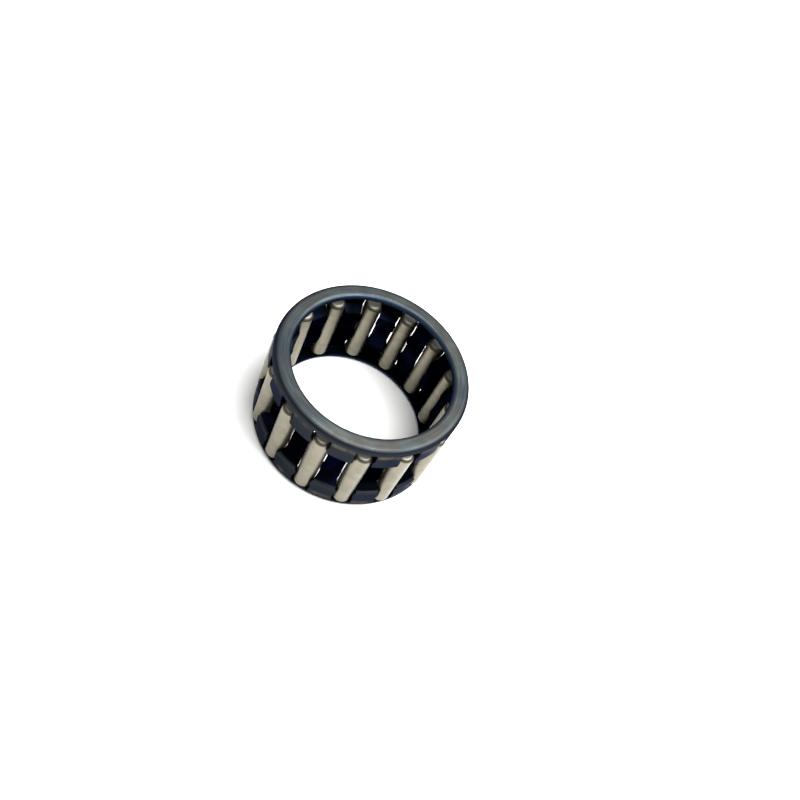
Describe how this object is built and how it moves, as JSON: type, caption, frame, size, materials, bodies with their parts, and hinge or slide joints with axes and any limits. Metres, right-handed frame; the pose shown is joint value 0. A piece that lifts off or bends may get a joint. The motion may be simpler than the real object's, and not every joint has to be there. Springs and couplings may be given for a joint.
{
  "type": "needle roller and cage assembly",
  "caption": "Cylindrical needle rollers held upright in the pockets of a one-piece cranked steel cage ring, for a shaft that runs in a housing bore.",
  "frame": {"origin": "centre of the cage's lower face, on the bearing axis", "axes": "+Z along the bearing axis, from the face it stands on to the opposite face; +X through the axis of roller_01"},
  "size_m": [0.031, 0.0306, 0.017],
  "materials": {
    "cage_steel": "pressed low-carbon steel with a blue-black hardening film, turned faces",
    "roller_steel": "barrel-finished through-hardened bearing steel, satin"
  },
  "bodies": {
    "cage": {"cage": "cage_steel"},
    "roller_01": {"roller_01": "roller_steel"},
    "roller_02": {"roller_02": "roller_steel"},
    "roller_03": {"roller_03": "roller_steel"},
    "roller_04": {"roller_04": "roller_steel"},
    "roller_05": {"roller_05": "roller_steel"},
    "roller_06": {"roller_06": "roller_steel"},
    "roller_07": {"roller_07": "roller_steel"},
    "roller_08": {"roller_08": "roller_steel"},
    "roller_09": {"roller_09": "roller_steel"},
    "roller_10": {"roller_10": "roller_steel"},
    "roller_11": {"roller_11": "roller_steel"},
    "roller_12": {"roller_12": "roller_steel"},
    "roller_13": {"roller_13": "roller_steel"},
    "roller_14": {"roller_14": "roller_steel"}
  },
  "joints": [
    {"name": "roller_01_spin", "type": "hinge", "parent": "cage", "child": "roller_01", "pos_m": [0.014, 0, 0.0077], "axis": [0, 0, 1], "continuous": true},
    {"name": "roller_02_spin", "type": "hinge", "parent": "cage", "child": "roller_02", "pos_m": [0.01261, 0.00607, 0.0077], "axis": [0, 0, 1], "continuous": true},
    {"name": "roller_03_spin", "type": "hinge", "parent": "cage", "child": "roller_03", "pos_m": [0.00873, 0.01095, 0.0077], "axis": [0, 0, 1], "continuous": true},
    {"name": "roller_04_spin", "type": "hinge", "parent": "cage", "child": "roller_04", "pos_m": [0.00312, 0.01365, 0.0077], "axis": [0, 0, 1], "continuous": true},
    {"name": "roller_05_spin", "type": "hinge", "parent": "cage", "child": "roller_05", "pos_m": [-0.00312, 0.01365, 0.0077], "axis": [0, 0, 1], "continuous": true},
    {"name": "roller_06_spin", "type": "hinge", "parent": "cage", "child": "roller_06", "pos_m": [-0.00873, 0.01095, 0.0077], "axis": [0, 0, 1], "continuous": true},
    {"name": "roller_07_spin", "type": "hinge", "parent": "cage", "child": "roller_07", "pos_m": [-0.01261, 0.00607, 0.0077], "axis": [0, 0, 1], "continuous": true},
    {"name": "roller_08_spin", "type": "hinge", "parent": "cage", "child": "roller_08", "pos_m": [-0.014, 0, 0.0077], "axis": [0, 0, 1], "continuous": true},
    {"name": "roller_09_spin", "type": "hinge", "parent": "cage", "child": "roller_09", "pos_m": [-0.01261, -0.00607, 0.0077], "axis": [0, 0, 1], "continuous": true},
    {"name": "roller_10_spin", "type": "hinge", "parent": "cage", "child": "roller_10", "pos_m": [-0.00873, -0.01095, 0.0077], "axis": [0, 0, 1], "continuous": true},
    {"name": "roller_11_spin", "type": "hinge", "parent": "cage", "child": "roller_11", "pos_m": [-0.00312, -0.01365, 0.0077], "axis": [0, 0, 1], "continuous": true},
    {"name": "roller_12_spin", "type": "hinge", "parent": "cage", "child": "roller_12", "pos_m": [0.00312, -0.01365, 0.0077], "axis": [0, 0, 1], "continuous": true},
    {"name": "roller_13_spin", "type": "hinge", "parent": "cage", "child": "roller_13", "pos_m": [0.00873, -0.01095, 0.0077], "axis": [0, 0, 1], "continuous": true},
    {"name": "roller_14_spin", "type": "hinge", "parent": "cage", "child": "roller_14", "pos_m": [0.01261, -0.00607, 0.0077], "axis": [0, 0, 1], "continuous": true}
  ]
}
